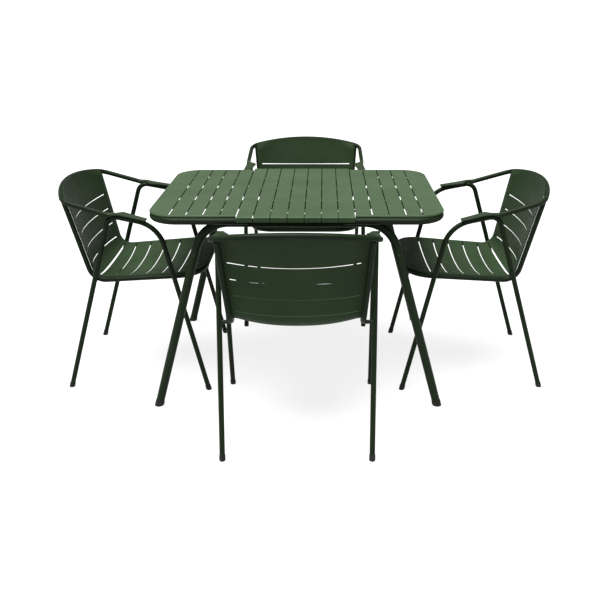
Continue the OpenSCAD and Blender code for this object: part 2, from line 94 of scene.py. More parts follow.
def add_piece(name, mesh, body, slot, replaced):
    """Puts a mesh into the scene as a piece that moves with a body and stands for some nodes."""
    piece = bpy.data.objects.new(name, mesh)
    bpy.context.scene.collection.objects.link(piece)
    mesh.materials.append(MATERIALS[slot])
    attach(piece, body)
    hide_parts(*replaced)
    return piece


def mesh_from(name, points, faces):
    mesh = bpy.data.meshes.new(name)
    mesh.from_pydata([tuple(p) for p in points], [], faces)
    mesh.validate()
    return tidy_mesh(mesh)


def tidy_mesh(mesh):
    """Merges double points, drops loose ones and turns every face outward, then smooths."""
    bm = bmesh.new()
    bm.from_mesh(mesh)
    bmesh.ops.remove_doubles(bm, verts=bm.verts, dist=1e-6)
    loose = [v for v in bm.verts if not v.link_faces]
    bmesh.ops.delete(bm, geom=loose, context="VERTS")
    bmesh.ops.recalc_face_normals(bm, faces=bm.faces)
    for face in bm.faces:
        face.smooth = True
    bm.to_mesh(mesh)
    bm.free()
    return mesh


def mesh_from_rings(name, stacks, filled_ring):
    """One mesh from stacks of rings of points: quads between the rings, and one ring filled."""
    bm = bmesh.new()
    for stack in stacks:
        rings = [[bm.verts.new(point) for point in ring] for ring in stack]
        for lower, upper in zip(rings, rings[1:]):
            for step in range(len(lower)):
                nxt = (step + 1) % len(lower)
                bm.faces.new((lower[step], lower[nxt], upper[nxt], upper[step]))
        bm.faces.new(rings[filled_ring])
    mesh = bpy.data.meshes.new(name)
    bm.to_mesh(mesh)
    bm.free()
    return tidy_mesh(mesh)


def soften(piece, width):
    """A small round on every sharp edge, and clean shading around it."""
    bevel = piece.modifiers.new("edge", "BEVEL")
    bevel.width = width
    bevel.segments = 2
    bevel.limit_method = "ANGLE"
    bevel.angle_limit = math.radians(40)
    bevel.harden_normals = False
    shade = piece.modifiers.new("shade", "WEIGHTED_NORMAL")
    shade.keep_sharp = True
    shade.weight = 60


def thicken(piece, thickness, offset):
    solid = piece.modifiers.new("sheet", "SOLIDIFY")
    solid.thickness = thickness
    solid.offset = offset
    solid.use_even_offset = True


def grid_mesh(name, rows, columns, is_hole, place):
    """A sheet of quads through rows and columns, without the cells that are holes."""
    points = [place(r, c) for r in rows for c in columns]
    wide = len(columns)
    faces = []
    for i in range(len(rows) - 1):
        for j in range(wide - 1):
            middle = ((rows[i] + rows[i + 1]) / 2, (columns[j] + columns[j + 1]) / 2)
            if not is_hole(*middle):
                a = i * wide + j
                faces.append((a, a + 1, a + wide + 1, a + wide))
    return mesh_from(name, points, faces)


# ------------------------------------------------------------------ materials

# The coat's colour, where it has faded or worn, and where it is deepest.
GREEN = (0.0280, 0.0500, 0.0225, 1)
GREEN_FADED = (0.040, 0.068, 0.032, 1)
GREEN_DEEP = (0.0215, 0.041, 0.0165, 1)
BLACK = (0.008, 0.008, 0.008, 1)
BLACK_DUSTY = (0.020, 0.020, 0.019, 1)


class Shader:
    """A procedural material: a principled shader and the nodes that feed it."""

    def __init__(self, name):
        self.material = bpy.data.materials.new(name)
        self.material.use_nodes = True
        self.tree = self.material.node_tree
        self.principled = self.tree.nodes["Principled BSDF"]
        self.place = self.add("ShaderNodeTexCoord").outputs["Object"]

    def add(self, kind, **settings):
        node = self.tree.nodes.new(kind)
        for key, value in settings.items():
            setattr(node, key, value)
        return node

    def join(self, output, socket):
        self.tree.links.new(output, socket)

    def noise(self, scale, detail=3.0, roughness=0.55):
        node = self.add("ShaderNodeTexNoise")
        node.inputs["Scale"].default_value = scale
        node.inputs["Detail"].default_value = detail
        node.inputs["Roughness"].default_value = roughness
        self.join(self.place, node.inputs["Vector"])
        return node.outputs["Fac"]

    def spread(self, value, low, high, to_low=0.0, to_high=1.0):
        """value from low to high becomes to_low to to_high."""
        node = self.add("ShaderNodeMapRange")
        numbers = (low, high, to_low, to_high)
        for key, number in zip(("From Min", "From Max", "To Min", "To Max"), numbers):
            node.inputs[key].default_value = number
        self.join(value, node.inputs["Value"])
        return node.outputs["Result"]

    def blend(self, factor, first, second):
        """From the first colour to the second; each is a colour or another node's output."""
        node = self.add("ShaderNodeMix", data_type="RGBA")
        self.join(factor, node.inputs["Factor"])
        for socket, colour in ((node.inputs["A"], first), (node.inputs["B"], second)):
            if isinstance(colour, tuple):
                socket.default_value = colour
            else:
                self.join(colour, socket)
        return node.outputs["Result"]

    def sum(self, first, second, share):
        """The first height plus a share of the second."""
        node = self.add("ShaderNodeMath", operation="MULTIPLY_ADD")
        self.join(second, node.inputs[0])
        node.inputs[1].default_value = share
        self.join(first, node.inputs[2])
        return node.outputs["Value"]

    def bump(self, height, strength, distance):
        node = self.add("ShaderNodeBump")
        node.inputs["Strength"].default_value = strength
        node.inputs["Distance"].default_value = distance
        self.join(height, node.inputs["Height"])
        self.join(node.outputs["Normal"], self.principled.inputs["Normal"])


def tint(colour, painted_light_level):
    """The colour, lighter or darker: here painted light and shade."""
    return tuple(c * painted_light_level for c in colour[:3]) + (1,)


def powder_coat(name, painted_light_level, gloss, rough_low, rough_high):
    """Satin powder coat: fine orange peel, faint cloudy fading and paler worn edges, the whole coat
    made lighter or darker as painted light and shade.
    """
    shader = Shader(name)
    # Painted light and shade: the level makes the whole coat lighter where it is lit and darker where
    # shade falls.
    faded = tint(GREEN_FADED, painted_light_level)
    cloud = shader.spread(shader.noise(7.0, 4.0), 0.35, 0.68)
    colour = shader.blend(cloud, tint(GREEN_DEEP, painted_light_level), tint(GREEN, painted_light_level))
    speck = shader.spread(shader.noise(620.0, 2.0), 0.56, 0.72, 0.0, 0.4)
    colour = shader.blend(speck, colour, faded)
    edge = shader.add("ShaderNodeNewGeometry").outputs["Pointiness"]
    worn = shader.spread(edge, 0.53, 0.62, 0.0, 0.55)
    colour = shader.blend(worn, colour, faded)
    shader.join(colour, shader.principled.inputs["Base Color"])
    streak = shader.spread(shader.noise(38.0, 5.0, 0.65), 0.3, 0.7, rough_low, rough_high)
    shader.join(streak, shader.principled.inputs["Roughness"])
    shader.principled.inputs["Specular IOR Level"].default_value = gloss
    peel = shader.sum(shader.noise(420.0, 2.0), shader.noise(1500.0, 2.0), 0.5)
    shader.bump(peel, 0.35, 0.0004)
    return shader.material


def moulded_plastic(name):
    """Matt black plastic with a fine moulded grain and patches of dust."""
    shader = Shader(name)
    colour = shader.blend(shader.spread(shader.noise(45.0, 5.0), 0.42, 0.75), BLACK, BLACK_DUSTY)
    shader.join(colour, shader.principled.inputs["Base Color"])
    shader.join(shader.spread(shader.noise(90.0), 0.3, 0.7, 0.5, 0.72),
                shader.principled.inputs["Roughness"])
    shader.principled.inputs["Specular IOR Level"].default_value = 0.12
    shader.bump(shader.noise(900.0, 2.0), 0.4, 0.0004)
    return shader.material


# Each green slot's brightness, gloss, and lowest and highest roughness. The brightness is painted
# light and shade on one green coat: lighter on the lit table sheets, darker on the tubes, seats,
# armrests and screws, which lie in shade.
COATS = {
    "green_powder_coat": (0.26, 0.06, 0.34, 0.46),
    "green_table_sheet": (1.08, 0.18, 0.38, 0.5),
    "green_seat_sheet": (0.62, 0.06, 0.45, 0.58),
    "green_armrest": (0.5, 0.12, 0.38, 0.48),
    "green_screw": (0.4, 0.2, 0.3, 0.4),
}
MATERIALS = {slot: powder_coat(slot, *look) for slot, look in COATS.items()}
MATERIALS["black_foot"] = moulded_plastic("black_foot")


def finish_nodes():
    """Every node that stays in sight takes its slot's material."""
    for part in frame["record"]["subparts"]:
        mesh = frame["nodes"][part["node"]].data
        mesh.materials.clear()
        mesh.materials.append(MATERIALS[part["material_slot"]])


# ------------------------------------------------------------------ table

# Thickness of the sheets.
SHEET = 2 * MM
# Width, number and pitch of the slots in the top.
TOP_SLOT = 4 * MM
SLOT_COUNT = 16
SLOT_PITCH = 61 * MM
# The first and last slot that run through the centre panel. The gaps beside it are the next ones.
CENTRE_SLOTS = (5, 10)
# Where the bridges between the slats lie across the table, and half their width.
BRIDGES = (-165 * MM, 30 * MM, 220 * MM)
HALF_BRIDGE = 7 * MM
# An end panel's slots stop this far from its edge.
SLOT_MARGIN = 14 * MM
RIM_CORNER = 105 * MM
# The outside radius of the sheets' folded edges.
FOLD = 3.5 * MM
# An end panel's rolled edge goes on this far below its bend, and its lip stands this far inside it.
ROLL_DROP = 3.2 * MM
LIP_INSET = 5 * MM
# The small round on the edges of the table's sheets.
TABLE_EDGE = 0.35 * MM
# How near two places count as the same.
NEAR = 1e-9


def slot_x(i):
    """A slot's place along the table; half numbers lie in the middle of a slat."""
    return (i - (SLOT_COUNT - 1) / 2) * SLOT_PITCH


def table_middle():
    """The point on the floor under the table's middle."""
    low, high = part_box("table_feet")
    return Vector(((low.x + high.x) / 2, (low.y + high.y) / 2, 0))


def slot_spans(reach):
    """The stretches of a slot between the bridges, from -reach to reach."""
    starts = [-reach] + [b + HALF_BRIDGE for b in BRIDGES]
    ends = [b - HALF_BRIDGE for b in BRIDGES] + [reach]
    return list(zip(starts, ends))


def make_centre_panel():
    """One folded sheet whose slots run over its edges and part its aprons into tabs."""
    middle = table_middle()
    low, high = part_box("centre_panel")
    half_x, half_y = (high.x - low.x) / 2, (high.y - low.y) / 2
    top, apron = high.z, high.z - low.z
    flat = half_y - FOLD
    arc = FOLD * math.pi / 2
    edge = flat + arc + apron - FOLD

    def profile(p):
        """Point and height at a place p along the sheet, measured from the middle of the top."""
        side, q = (1 if p > 0 else -1), abs(p)
        if q <= flat:
            return p, top
        if q <= flat + arc:
            a = (q - flat) / FOLD
            return side * (flat + FOLD * math.sin(a)), top - FOLD * (1 - math.cos(a))
        return side * half_y, top - FOLD - (q - flat - arc)

    spans = slot_spans(edge + TOP_SLOT)
    slots = [slot_x(i) for i in range(CENTRE_SLOTS[0], CENTRE_SLOTS[1] + 1)]
    across = (-1.0, -0.75, -0.4, 0.0, 0.4, 0.75, 1.0)
    columns = sorted([-half_x, half_x]
                     + [x + TOP_SLOT / 2 * k for x in slots for k in across]
                     + [slot_x(i + 0.5) for i in range(CENTRE_SLOTS[0] - 1, CENTRE_SLOTS[1] + 1)])
    inner_ends = [b + side * HALF_BRIDGE for b in BRIDGES for side in (-1, 1)]
    rows = set(inner_ends) | {b + side * 2 * HALF_BRIDGE for b in BRIDGES for side in (-1, 1)}
    for side in (-1, 1):
        rows |= {side * (flat + arc * k / 5) for k in range(6)}
        # The apron's lower edge, and a row a little above it.
        rows |= {side * edge, side * (edge - 6 * MM)}
    rows = sorted(rows | set(between(-flat, flat, 24)[1:]))
    rows = [r for i, r in enumerate(rows) if i == 0 or r - rows[i - 1] > 1e-6]

    def is_hole(p, x):
        in_slot = any(abs(x - s) < TOP_SLOT / 2 for s in slots)
        return in_slot and any(a < p < b for a, b in spans)

    def place(p, x):
        off = min(abs(x - s) for s in slots)
        if off <= TOP_SLOT / 2 + NEAR:
            # A slot's ends at the bridges are half round.
            across_slot = min(1.0, off / (TOP_SLOT / 2))
            round_off = TOP_SLOT / 2 * (1 - math.sqrt(max(0.0, 1 - across_slot ** 2)))
            for end in inner_ends:
                if abs(p - end) < NEAR:
                    toward = -1 if any(abs(end - b) < NEAR for _, b in spans) else 1
                    p = p + toward * round_off
        y, z = profile(p)
        return (middle.x + x, middle.y + y, z)

    mesh = grid_mesh("centre_panel_sheet", rows, columns, is_hole, place)
    piece = add_piece("centre_panel_sheet", mesh, "table", "green_table_sheet", ["centre_panel"])
    thicken(piece, SHEET, -1)
    soften(piece, TABLE_EDGE)


def rounded_slot(x, a, b):
    """The outline of one stretch of slot, with half-round ends."""
    r = TOP_SLOT / 2
    steps = range(7)
    far = [(x + r * math.cos(math.pi * k / 6), b - r + r * math.sin(math.pi * k / 6)) for k in steps]
    near = [(x - r * math.cos(math.pi * k / 6), a + r - r * math.sin(math.pi * k / 6)) for k in steps]
    return far + near


def end_outline(inner, x_max, y_max, corner):
    """Points and outward directions around an end panel, from its inner edge and back to it."""
    points = [(inner, -y_max, 0.0, -1.0)]
    for start in (-90, 0):
        sign = -1 if start < 0 else 1
        for k in range(17):
            a = math.radians(start + 90 * k / 16)
            points.append((x_max - corner + corner * math.cos(a),
                           sign * (y_max - corner) + corner * math.sin(a),
                           math.cos(a), math.sin(a)))
    return points + [(inner, y_max, 0.0, 1.0)]


def filled_sheet(outlines):
    """Points and triangles of a flat sheet inside the first outline and outside the others."""
    curve = bpy.data.curves.new("outline", "CURVE")
    curve.dimensions = "2D"
    curve.fill_mode = "BOTH"
    for outline in outlines:
        spline = curve.splines.new("POLY")
        spline.points.add(len(outline) - 1)
        for point, (x, y) in zip(spline.points, outline):
            point.co = (x, y, 0, 1)
        spline.use_cyclic_u = True
    helper = bpy.data.objects.new("outline", curve)
    bpy.context.scene.collection.objects.link(helper)
    bpy.context.view_layer.update()
    flat = bpy.data.meshes.new_from_object(helper.evaluated_get(bpy.context.evaluated_depsgraph_get()))
    points = [(v.co.x, v.co.y) for v in flat.vertices]
    faces = [tuple(f.vertices) for f in flat.polygons]
    bpy.data.objects.remove(helper)
    bpy.data.curves.remove(curve)
    bpy.data.meshes.remove(flat)
    return points, faces


def make_end_panel(name, side):
    """A slotted sheet with its edge rolled down, and a lip that stands on the rim tube."""
    middle = table_middle()
    low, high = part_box(name)
    top = high.z
    x_max = max(abs(low.x - middle.x), abs(high.x - middle.x))
    inner = min(abs(low.x - middle.x), abs(high.x - middle.x))
    y_max = (high.y - low.y) / 2
    outline = end_outline(inner, x_max - FOLD, y_max - FOLD, RIM_CORNER - FOLD)
    slots = [rounded_slot(slot_x(i), a, b) for i in range(CENTRE_SLOTS[1] + 2, SLOT_COUNT)
             for a, b in slot_spans(y_max - SLOT_MARGIN)]
    flat, faces = filled_sheet([[(x, y) for x, y, _, _ in outline]] + slots)
    points = [(x, y, top) for x, y in flat]
    roll = [(FOLD * math.sin(a), FOLD * (1 - math.cos(a))) for a in between(0, math.pi / 2, 5)]
    roll += [(FOLD, FOLD), (FOLD, FOLD + ROLL_DROP)]
    # The lip hangs from the sheet's underside, a little inside the rolled edge.
    lip = [(FOLD - LIP_INSET, SHEET), (FOLD - LIP_INSET, top - low.z)]
    for steps in (roll, lip):
        for out, down in steps:
            points += [(x + nx * out, y + ny * out, top - down) for x, y, nx, ny in outline]
        wide = len(outline)
        first = len(points) - wide * len(steps)
        for i in range(len(steps) - 1):
            for j in range(wide - 1):
                a = first + i * wide + j
                faces.append((a, a + 1, a + wide + 1, a + wide))
    points = [(middle.x + side * x, middle.y + y, z) for x, y, z in points]
    piece = add_piece(name + "_sheet", mesh_from(name, points, faces), "table",
                      "green_table_sheet", [name])
    # A tenth thinner than the other sheets.
    thicken(piece, SHEET * 0.9, -1)
    soften(piece, TABLE_EDGE)


# A screw head's width and height, and its section as [radius, height]: the socket first.
SCREW_HEAD = 9 * MM
SCREW_HEIGHT = 2.5 * MM
SCREW_PROFILE = [
    (0.0, 1.4), (1.7, 1.4), (2.0, 2.5), (2.9, 2.45), (3.9, 1.9), (4.4, 1.0), (4.5, 0.0)
]
# The profile's first rings make the hexagon socket.
SOCKET_RINGS = 3
SCREW_SIDES = 24


def hexagon(a):
    """How far a hexagon's side is from its middle in direction a, where its corners are at 1."""
    return math.cos(math.pi / 6) / math.cos(a % (math.pi / 3) - math.pi / 6)


def screw_head(x, y, z):
    """Rings of a round head that stands on y and faces outward along it."""
    rings = []
    for k, (r, h) in enumerate(SCREW_PROFILE):
        ring = []
        for a in angles(SCREW_SIDES):
            reach = r * MM * (hexagon(a) if k < SOCKET_RINGS else 1)
            ring.append((x + reach * math.cos(a), y + h * MM, z + reach * math.sin(a)))
        rings.append(ring)
    return rings


def make_screws():
    """Round-headed screws with a hexagon socket, one near the top of each leg."""
    middle = table_middle()
    low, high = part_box("leg_screws")
    half_x, half_y = (high.x - low.x - SCREW_HEAD) / 2, (high.y - low.y) / 2
    heads = []
    for sx in (-1, 1):
        for sy in (-1, 1):
            rings = screw_head(middle.x + sx * half_x, half_y - SCREW_HEIGHT, (low.z + high.z) / 2)
            heads.append([[(x, middle.y + sy * y, z) for x, y, z in ring] for ring in rings])
    mesh = mesh_from_rings("leg_screw_heads", heads, -1)
    piece = add_piece("leg_screw_heads", mesh, "table", "green_screw", ["leg_screws"])
    soften(piece, 0.15 * MM)


# ------------------------------------------------------------------ foot caps

# Radius beyond the tube's, height up the leg, and how much of the floor's slant a ring takes.
CAP_RINGS = [
    (-6.0, 0.0, 1.0), (-1.2, 0.0, 1.0), (0.5, 0.2, 1.0), (1.1, 0.9, 1.0), (1.3, 2.0, 0.95),
    (1.3, 7.5, 0.5), (1.0, 8.2, 0.45), (1.0, 9.0, 0.4), (1.3, 9.7, 0.35),
    (1.3, 18.8, 0.0), (1.1, 19.6, 0.0), (0.6, 20.0, 0.0), (0.1, 19.7, 0.0), (0.05, 15.0, 0.0)
]
CAP_SIDES = 40


def cap(foot, axis, tube_radius):
    """Rings of a moulded cap: flat on the floor, a groove around it, and a rounded mouth."""
    across = Vector((0, 1, 0)).cross(axis).normalized()
    along = axis.cross(across)
    rings = []
    for extra, height, slant in CAP_RINGS:
        r = tube_radius + extra * MM
        ring = []
        for a in angles(CAP_SIDES):
            spoke = across * (r * math.cos(a)) + along * (r * math.sin(a))
            shift = -spoke.z / axis.z * slant
            ring.append(foot + spoke + axis * (height * MM + shift))
        rings.append(ring)
    return rings


def make_caps(name, body, node, legs, tube_radius):
    """legs are pairs: the middle of a foot on the floor, and a point further up the leg."""
    caps = [cap(foot, (upper - foot).normalized(), tube_radius) for foot, upper in legs]
    add_piece(name, mesh_from_rings(name, caps, 0), body, "black_foot", [node])


# How a table leg leans, along and across the table, for each unit of height.
TABLE_LEAN = (-0.2775, -57 / 717.5)
# A table foot's place along and across the table, and its leg's radius.
TABLE_FEET = (540 * MM, 419 * MM)
LEG_R = 16 * MM


def make_table_feet():
    middle = table_middle()
    legs = []
    for sx in (-1, 1):
        for sy in (-1, 1):
            foot = middle + Vector((sx * TABLE_FEET[0], sy * TABLE_FEET[1], 0))
            legs.append((foot, foot + Vector((sx * TABLE_LEAN[0], sy * TABLE_LEAN[1], 1))))
    make_caps("table_foot_caps", "table", "table_feet", legs, LEG_R)


# ------------------------------------------------------------------ chairs
# A chair is worked out around its own middle, with u forward, v to its left and w up.

# Each chair's way of facing, as the direction of u.
CHAIRS = {"front": (0, 1), "rear": (0, -1), "left": (1, 0), "right": (-1, 0)}
# The rear caps reach a hair less far back than the front caps reach forward.
CAP_SKEW = 0.38 * MM
TUBE_R = 9.5 * MM
FRONT_FOOT = Vector((281 * MM, 281 * MM, 0))
REAR_FOOT = Vector((-280 * MM, 257 * MM, 0))
# How far a side frame's tubes spread outward for each unit forward.
TOE = (FRONT_FOOT.y - REAR_FOOT.y) / (FRONT_FOOT.x - REAR_FOOT.x)
# How far the legs lean towards each other for each unit of height, and how far the arms fall
# for each unit forward.
FRONT_LEAN = 0.226
REAR_LEAN = 0.31
ARM_FALL = 0.2


class Chair:
    """Turns a chair's own u, v, w into a place in the frame."""

    def __init__(self, name, facing):
        self.body = name + "_chair"
        self.forward = Vector((facing[0], facing[1], 0))
        self.left = Vector((-facing[1], facing[0], 0))
        low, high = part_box(self.body + "_feet")
        centre = Vector(((low.x + high.x) / 2, (low.y + high.y) / 2, 0))
        self.middle = centre - self.forward * CAP_SKEW

    def at(self, u, v, w):
        return self.middle + self.forward * u + self.left * v + Vector((0, 0, w))


def frame_v(u):
    """How far out a side frame stands at u."""
    return REAR_FOOT.y + (u - REAR_FOOT.x) * TOE


def make_chair_feet(chair):
    legs = []
    for side in (-1, 1):
        for foot, lean in ((FRONT_FOOT, -FRONT_LEAN), (REAR_FOOT, REAR_LEAN)):
            higher = foot + Vector((lean, lean * TOE, 1))
            legs.append((chair.at(foot.x, side * foot.y, 0), chair.at(higher.x, side * higher.y, 1)))
    make_caps(chair.body + "_foot_caps", chair.body, chair.body + "_feet", legs, TUBE_R)


# The seat loop's tube, as [u, v, w] at its top, its heel and the front of the seat.
LOOP_TOP = (-223 * MM, 248 * MM, 766 * MM)
LOOP_HEEL = (-153 * MM, 223 * MM, 447 * MM)
LOOP_FRONT = (275 * MM, 242 * MM, 478 * MM)
# The radii of its bends at the heel and at the front.
HEEL_BEND = 60 * MM
LOOP_BEND = 95 * MM
# The seat sheet's slots. Those in the back are narrower in the middle, by a share of their width.
SEAT_SLOT = 4.5 * MM
BACK_SLOT_WAIST = 0.42
# The height of the sheet's top corners.
SHEET_TOP = 776 * MM
# The sheet lies a hair off the loop's tube.
SHEET_GAP = TUBE_R + SHEET / 2 + 0.3 * MM
# The sheet is flat along the tube outside this part of its half width.
FLAT_FROM = 0.92
# How softly the flat edge turns into the dished middle, as a part of the half width.
EASE = 0.05
# The top rail's bent middle: two of its corners as [u, v, w], and the radius of its bend.
RAIL_CORNER = (-220 * MM, 270 * MM, 772 * MM)
RAIL_MIDDLE = (-328 * MM, 0, 824 * MM)
RAIL_BEND = 585 * MM
# The sheet passes in front of the rail and covers it to this height above its middle.
RAIL_COVER = 6 * MM
# The first slot, along the sheet, and how far apart the slots are in the back and in the seat.
S_SLOT = 91.5 * MM
BACK_PITCH = 63 * MM
SEAT_PITCH = 65 * MM
# One slot lies in the heel, at this part of its bend. The seat's first slot is this far past it.
HEEL_SLOT = 0.62
FIRST_SEAT_SLOT = 22 * MM


# Directions and points in the sheet's side view are pairs (u, w).

def left_of(d):
    return (-d[1], d[0])


def rotated(d, a):
    return (d[0] * math.cos(a) - d[1] * math.sin(a), d[0] * math.sin(a) + d[1] * math.cos(a))


def moved(p, *steps):
    """p moved by each (direction, distance)."""
    for d, distance in steps:
        p = (p[0] + d[0] * distance, p[1] + d[1] * distance)
    return p


BACK_DIR = unit2(LOOP_HEEL[0] - LOOP_TOP[0], LOOP_HEEL[2] - LOOP_TOP[2])
SEAT_DIR = unit2(LOOP_FRONT[0] - LOOP_HEEL[0], LOOP_FRONT[2] - LOOP_HEEL[2])
HEEL_TURN = math.acos(BACK_DIR[0] * SEAT_DIR[0] + BACK_DIR[1] * SEAT_DIR[1])
HEEL_R = HEEL_BEND - SHEET_GAP
HEEL_BISECTOR = unit2(-BACK_DIR[1] - SEAT_DIR[1], BACK_DIR[0] + SEAT_DIR[0])
INNER_HEEL = moved((LOOP_HEEL[0], LOOP_HEEL[2]), (HEEL_BISECTOR, SHEET_GAP / math.cos(HEEL_TURN / 2)))
HEEL_START = moved(INNER_HEEL, (BACK_DIR, -HEEL_R * math.tan(HEEL_TURN / 2)))
HEEL_END = moved(INNER_HEEL, (SEAT_DIR, HEEL_R * math.tan(HEEL_TURN / 2)))
HEEL_CENTRE = moved(HEEL_START, (left_of(BACK_DIR), HEEL_R))
# Stations along the sheet's side edge: down the back, round the heel, along the seat, round the
# front corner and over the front tube.
S_HEEL = (HEEL_START[1] - SHEET_TOP) / BACK_DIR[1]
S_SEAT = S_HEEL + HEEL_R * HEEL_TURN
SEAT_LEN = (LOOP_FRONT[0] - LOOP_BEND - HEEL_END[0]) / SEAT_DIR[0]
S_CORNER = S_SEAT + SEAT_LEN
CORNER_LEN = LOOP_BEND * math.pi / 2
S_LIP = S_CORNER + CORNER_LEN
S_END = S_LIP + SHEET_GAP * math.pi / 2
SEAT_SLOTS = ([S_SLOT + BACK_PITCH * i for i in range(4)]
              + [S_HEEL + HEEL_SLOT * (S_SEAT - S_HEEL)]
              + [S_SEAT + FIRST_SEAT_SLOT + SEAT_PITCH * i for i in range(5)])


def corner_angle(s):
    """How far round the front corner a station lies."""
    return min(math.pi / 2, max(0.0, (s - S_CORNER) / LOOP_BEND))


def travel(s):
    """The direction along the side edge, as (u, w)."""
    if s < S_HEEL:
        return BACK_DIR
    if s < S_SEAT:
        return rotated(BACK_DIR, (s - S_HEEL) / HEEL_R)
    return rotated(SEAT_DIR, -max(0.0, (s - S_LIP) / SHEET_GAP))


def edge_at(s):
    """The side edge's place, as (u, w)."""
    if s < S_HEEL:
        return moved(HEEL_START, (BACK_DIR, s - S_HEEL))
    if s < S_SEAT:
        return moved(HEEL_CENTRE, (left_of(travel(s)), -HEEL_R))
    if s < S_CORNER:
        return moved(HEEL_END, (SEAT_DIR, s - S_SEAT))
    ahead = SEAT_LEN + LOOP_BEND * math.sin(corner_angle(s))
    return moved(HEEL_END, (SEAT_DIR, ahead), (left_of(travel(s)), SHEET_GAP),
                 (left_of(SEAT_DIR), -SHEET_GAP))


def half_width(s):
    """Half the sheet's width: straight between the loop's bends, and narrower round the corner."""
    rows = [(0, 0.247), (S_HEEL, 0.224), (S_SEAT, 0.226), (S_CORNER, 0.238)]
    wide = rows[-1][1]
    for (s0, w0), (s1, w1) in zip(rows, rows[1:]):
        if s < s1:
            wide = w0 + (w1 - w0) * (s - s0) / (s1 - s0)
            break
    return wide - LOOP_BEND * (1 - math.cos(corner_angle(s)))


def bow_out(s):
    """How far the sheet's middle bows out from its edges."""
    return smooth_lookup(s, [(S_SLOT, 0.038), (S_SLOT + 0.126, 0.031), (S_HEEL, 0.032),
                             (S_SEAT, 0.025), (S_CORNER - 0.06, 0.018),
                             (S_CORNER + 0.6 * CORNER_LEN, 0.0)])


def crown(s, t):
    """1 in the middle of the sheet and 0 along its flat edges."""
    power = smooth_lookup(s, [(S_SLOT, 2.1), (S_HEEL, 2.3), (S_LIP, 2.2)])
    taps = [t + EASE * k / 2 for k in (-2, -1, 0, 1, 2)]
    return sum(1 - min(1.0, abs(x) / FLAT_FROM) ** power for x in taps) / len(taps)


# The rail's bend seen from the side: its way down from the crest, and the crest. The back faces
# along BACK_FRONT, and RAIL_TILT is how fast the rail turns towards it.
RAIL_DROP = unit2(RAIL_CORNER[0] - RAIL_MIDDLE[0], RAIL_CORNER[2] - RAIL_MIDDLE[2])
RAIL_CREST = moved((RAIL_MIDDLE[0], RAIL_MIDDLE[2]),
                   (RAIL_DROP, RAIL_BEND * (math.dist(RAIL_CORNER, RAIL_MIDDLE) / RAIL_CORNER[1] - 1)))
BACK_FRONT = left_of(BACK_DIR)
RAIL_TILT = (RAIL_DROP[0] * BACK_FRONT[0] + RAIL_DROP[1] * BACK_FRONT[1]) / RAIL_BEND


def top_line(v):
    """The sheet's top edge where it passes in front of the rail, as (u, w)."""
    drop = RAIL_BEND - math.sqrt(RAIL_BEND ** 2 - v * v)
    ahead = SHEET_GAP / math.sqrt(1 - (RAIL_TILT * v) ** 2)
    return moved(RAIL_CREST, (RAIL_DROP, drop), (BACK_FRONT, ahead), (BACK_DIR, -RAIL_COVER))


def top_share(s):
    """How much of the rail's line the sheet still follows."""
    return smooth_lookup(s, [(0, 1), (0.02, 0.95), (0.045, 0.6), (0.07, 0.2), (S_SLOT - 0.003, 0)])


def sheet_point(s, t):
    """The sheet's point at a station s, t of the half width away from its middle, as (u, v, w)."""
    d = travel(s)
    n = left_of(d)
    share = top_share(s)
    bow, climb = bow_out(s) * (1 - share) * crown(s, t), 0.0
    if share > 0:
        line = top_line(t * half_width(0))
        start = edge_at(0)
        rise = (start[0] - line[0], start[1] - line[1])
        # Below its top corners the sheet comes forward, in front of the loop's tube.
        share *= 1 - min(1.0, abs(t) / FLAT_FROM) ** 10 * min(1.0, s / 0.015)
        bow += (rise[0] * n[0] + rise[1] * n[1]) * share
        climb = (rise[0] * d[0] + rise[1] * d[1]) * share
    p = moved(edge_at(s), (n, -bow), (d, -climb))
    return (p[0], t * half_width(s), p[1])


def make_shell(chair):
    """One bent sheet for the seat and back, with a slot between each pair of slats."""
    half_slot = SEAT_SLOT / 2
    rows = set(between(0, SEAT_SLOTS[0] - half_slot, 14))
    for s in SEAT_SLOTS:
        # Across a slot, the rows follow the half circle at its ends.
        rows |= {s + half_slot * k for k in (-1, -0.87, -0.5, 0, 0.5, 0.87, 1)}
    for before, after in zip(SEAT_SLOTS, SEAT_SLOTS[1:]):
        rows |= set(between(before + half_slot, after - half_slot, 7)[1:])
    rows |= set(between(SEAT_SLOTS[-1] + half_slot, S_LIP, 16)[1:])
    rows |= set(between(S_LIP, S_END, 8)) | {S_END}
    rows = sorted(rows)
    inner = [FLAT_FROM * (k / 22) for k in range(-22, 23)]
    columns = sorted(inner + [side * x for side in (-1, 1) for x in (0.945, 0.97, 1.0)])

    def nearest(s):
        return min(SEAT_SLOTS, key=lambda centre: abs(s - centre))

    def is_hole(s, t):
        return abs(s - nearest(s)) < half_slot and abs(t) < FLAT_FROM

    def place(s, t):
        centre = nearest(s)
        off = abs(s - centre)
        if off < half_slot + NEAR and abs(abs(t) - FLAT_FROM) < NEAR:
            round_off = half_slot - math.sqrt(max(0.0, half_slot ** 2 - off ** 2))
            t = math.copysign(abs(t) - round_off / half_width(s), t)
        if off < half_slot + NEAR and s < S_HEEL:
            s = centre + (s - centre) * (1 - BACK_SLOT_WAIST * (1 - t * t))
        return chair.at(*sheet_point(s, t))

    name = chair.body + "_seat_sheet"
    mesh = grid_mesh(name, rows, columns, is_hole, place)
    piece = add_piece(name, mesh, chair.body, "green_seat_sheet", [chair.body + "_seat_shell"])
    thicken(piece, SHEET, 0)
    soften(piece, 0.4 * MM)


